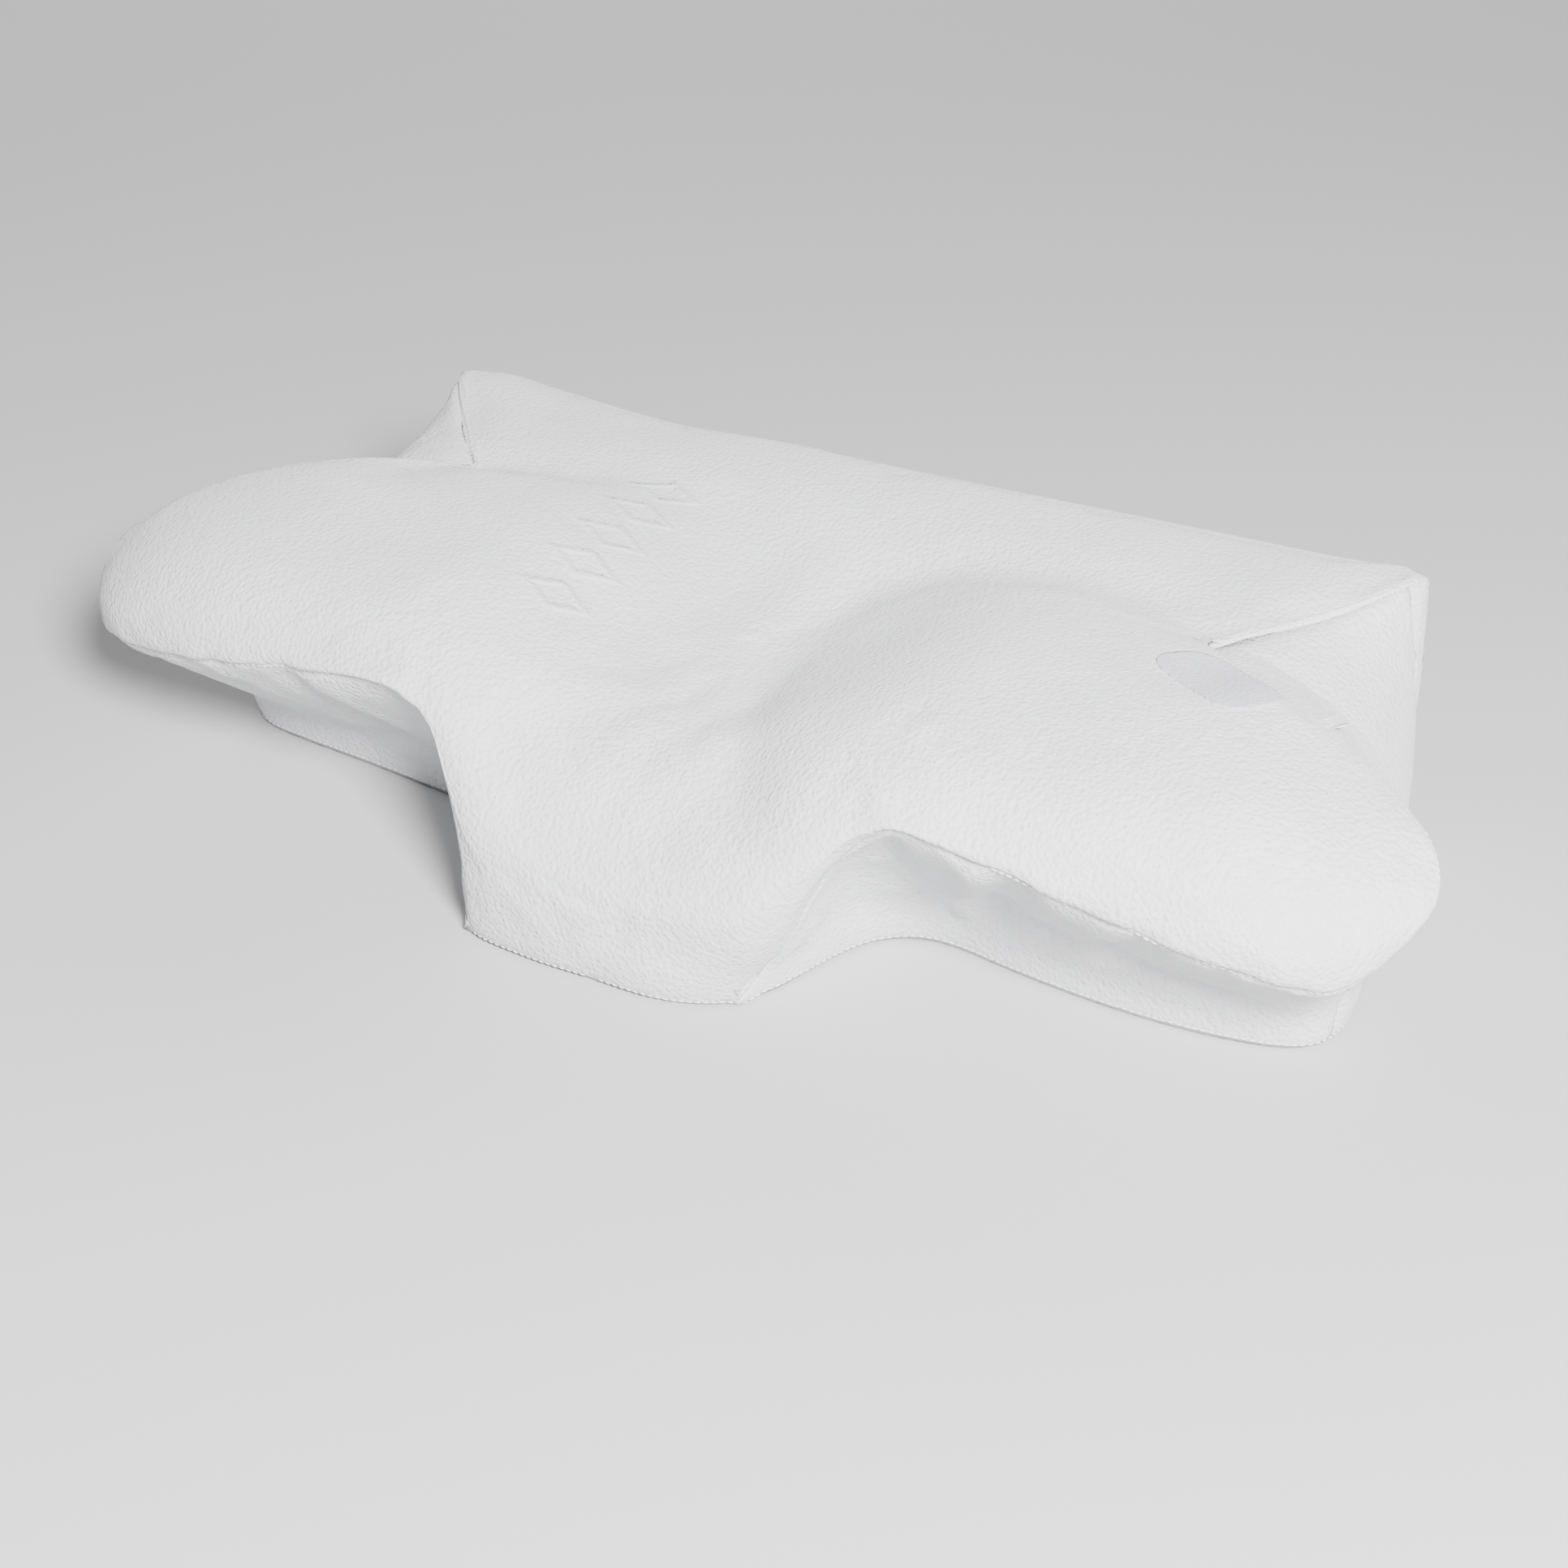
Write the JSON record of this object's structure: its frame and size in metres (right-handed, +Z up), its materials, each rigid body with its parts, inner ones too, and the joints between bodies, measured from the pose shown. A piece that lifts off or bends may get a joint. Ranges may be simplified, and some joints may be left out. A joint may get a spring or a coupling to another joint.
{
  "type": "cervical contour pillow",
  "caption": "Butterfly-shaped contour neck pillow with raised side wings, a front neck lobe, a foam core and a sewn knit cover with a rear zip.",
  "frame": {"origin": "under the middle of the pillow, on the surface that it lies on", "axes": "+X across the shoulders towards the right wing, +Y to the rear, high edge, -Y to the neck lobe, +Z up"},
  "size_m": [0.604, 0.2877, 0.1237],
  "materials": {
    "foam": "soft open-cell memory foam, matt cream",
    "liner": "thin plain inner fabric, matt white",
    "knit": "white air-layer knit with a fine pebbled grain, matt, soft sheen",
    "base_fabric": "plain woven underside fabric, matt pale grey",
    "thread": "white sewing thread, slight sheen",
    "zip_tape": "white woven zip tape",
    "zip_coil": "white nylon coil, satin",
    "zip_metal": "pale silver plated zinc, semi-gloss",
    "label": "blank woven label, slightly greyer than the knit"
  },
  "bodies": {
    "pillow": {"foam_core": "foam", "liner_upper": "liner", "liner_lower": "liner", "cover_top_panel": "knit", "cover_front_side_panel_left": "knit", "cover_front_side_panel_right": "knit", "cover_rear_side_panel_left": "knit", "cover_rear_side_panel_right": "knit", "cover_bottom_panel": "base_fabric", "top_seam_thread_left": "thread", "top_seam_thread_right": "thread", "tip_seam_thread_left": "thread", "tip_seam_thread_right": "thread", "base_seam_thread": "thread", "zip_tape_upper": "zip_tape", "zip_tape_lower": "zip_tape", "zip_coil_upper": "zip_coil", "zip_coil_lower": "zip_coil", "zip_stop_closed_end": "zip_metal", "zip_stop_open_end": "zip_metal", "wing_label": "label", "seam_tag": "label"},
    "zip_slider": {"zip_slider": "zip_metal"},
    "zip_pull": {"zip_pull": "zip_metal"}
  },
  "joints": [
    {"name": "zip_slide", "type": "slide", "parent": "pillow", "child": "zip_slider", "axis": [1, 0, 0], "range_m": [0, 0.372]},
    {"name": "pull_swing", "type": "hinge", "parent": "zip_slider", "child": "zip_pull", "pos_m": [-0.186, 0.1419, 0.022], "axis": [0, 0, -1], "range_deg": [0, 165]}
  ]
}
